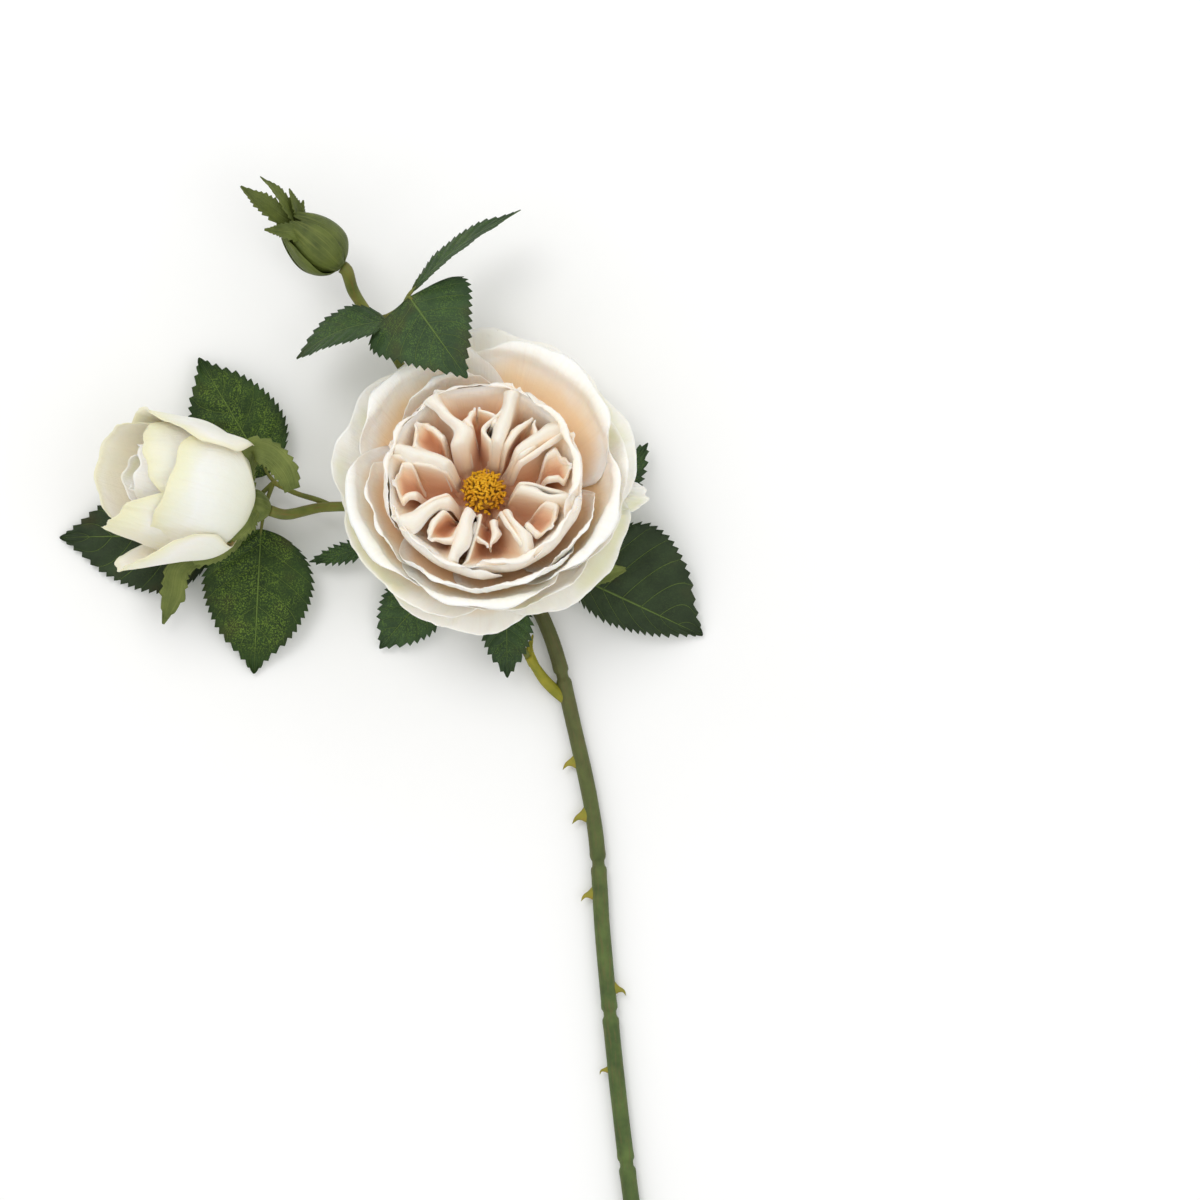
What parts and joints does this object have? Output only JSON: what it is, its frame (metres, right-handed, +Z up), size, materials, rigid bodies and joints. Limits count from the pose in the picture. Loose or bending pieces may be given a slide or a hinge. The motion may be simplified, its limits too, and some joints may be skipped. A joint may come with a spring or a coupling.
{
  "type": "cut rose",
  "caption": "Cut garden rose lying flat: a long thorny stem with an open quartered cream bloom, a half-open bud, a small closed bud and toothed leaves.",
  "frame": {"origin": "on the table, under the middle of the whole spray's bounding box", "axes": "+Z up from the table, the way the open bloom faces; the stem runs away along -Y to its cut end; the half-open bud lies towards -X"},
  "size_m": [0.2498, 0.5068, 0.0762],
  "materials": {
    "outer_petal": "satin cream petal, yellow-green towards its edge, peach inside",
    "rosette_petal": "blush to peach petal with a pale ruffled rim",
    "bud_petal": "cream white petal with a pale green base",
    "stamen": "matt golden yellow",
    "leaf": "semi-matt dark green, paler veins and a paler underside",
    "sepal": "matt yellow-green",
    "stem": "matt green to olive-brown bark with golden thorns"
  },
  "bodies": {
    "root": {"main_stem": "stem", "bud_branch": "stem", "top_branch": "stem", "lower_leaf_stalk": "stem", "right_leaf_stalk": "stem", "back_leaf_stalk": "stem", "left_leaf_stalk": "stem", "bud_leaf_stalk": "stem", "top_leaf_stalk": "stem", "bloom_calyx": "sepal", "stamens": "stamen", "low_guard_petal_1": "outer_petal", "low_guard_petal_2": "outer_petal", "low_guard_petal_3": "outer_petal", "low_guard_petal_4": "outer_petal", "low_guard_petal_5": "outer_petal", "guard_petal_1": "outer_petal", "guard_petal_2": "outer_petal", "guard_petal_3": "outer_petal", "guard_petal_4": "outer_petal", "guard_petal_5": "outer_petal", "cup_petal_1": "outer_petal", "cup_petal_2": "outer_petal", "cup_petal_3": "outer_petal", "cup_petal_4": "outer_petal", "cup_petal_5": "outer_petal", "collar_petal_1": "rosette_petal", "collar_petal_2": "rosette_petal", "collar_petal_3": "rosette_petal", "collar_petal_4": "rosette_petal", "collar_petal_5": "rosette_petal", "folded_petal_1": "rosette_petal", "folded_petal_2": "rosette_petal", "folded_petal_3": "rosette_petal", "folded_petal_4": "rosette_petal", "folded_petal_5": "rosette_petal", "folded_petal_6": "rosette_petal", "folded_petal_7": "rosette_petal", "folded_petal_8": "rosette_petal", "bud_calyx": "sepal", "outer_bud_petal_1": "bud_petal", "outer_bud_petal_2": "bud_petal", "outer_bud_petal_3": "bud_petal", "inner_bud_petal_1": "bud_petal", "inner_bud_petal_2": "bud_petal", "inner_bud_petal_3": "bud_petal", "bud_heart": "bud_petal", "small_bud": "sepal", "bud_leaf_upper": "leaf", "bud_leaf_left": "leaf", "bud_leaf_bottom": "leaf", "top_leaf_tip": "leaf", "top_leaf_left": "leaf", "top_leaf_right": "leaf", "right_leaf": "leaf", "right_leaf_small": "leaf", "back_leaf": "leaf", "lower_leaf": "leaf", "left_leaf_small": "leaf"}
  },
  "joints": []
}
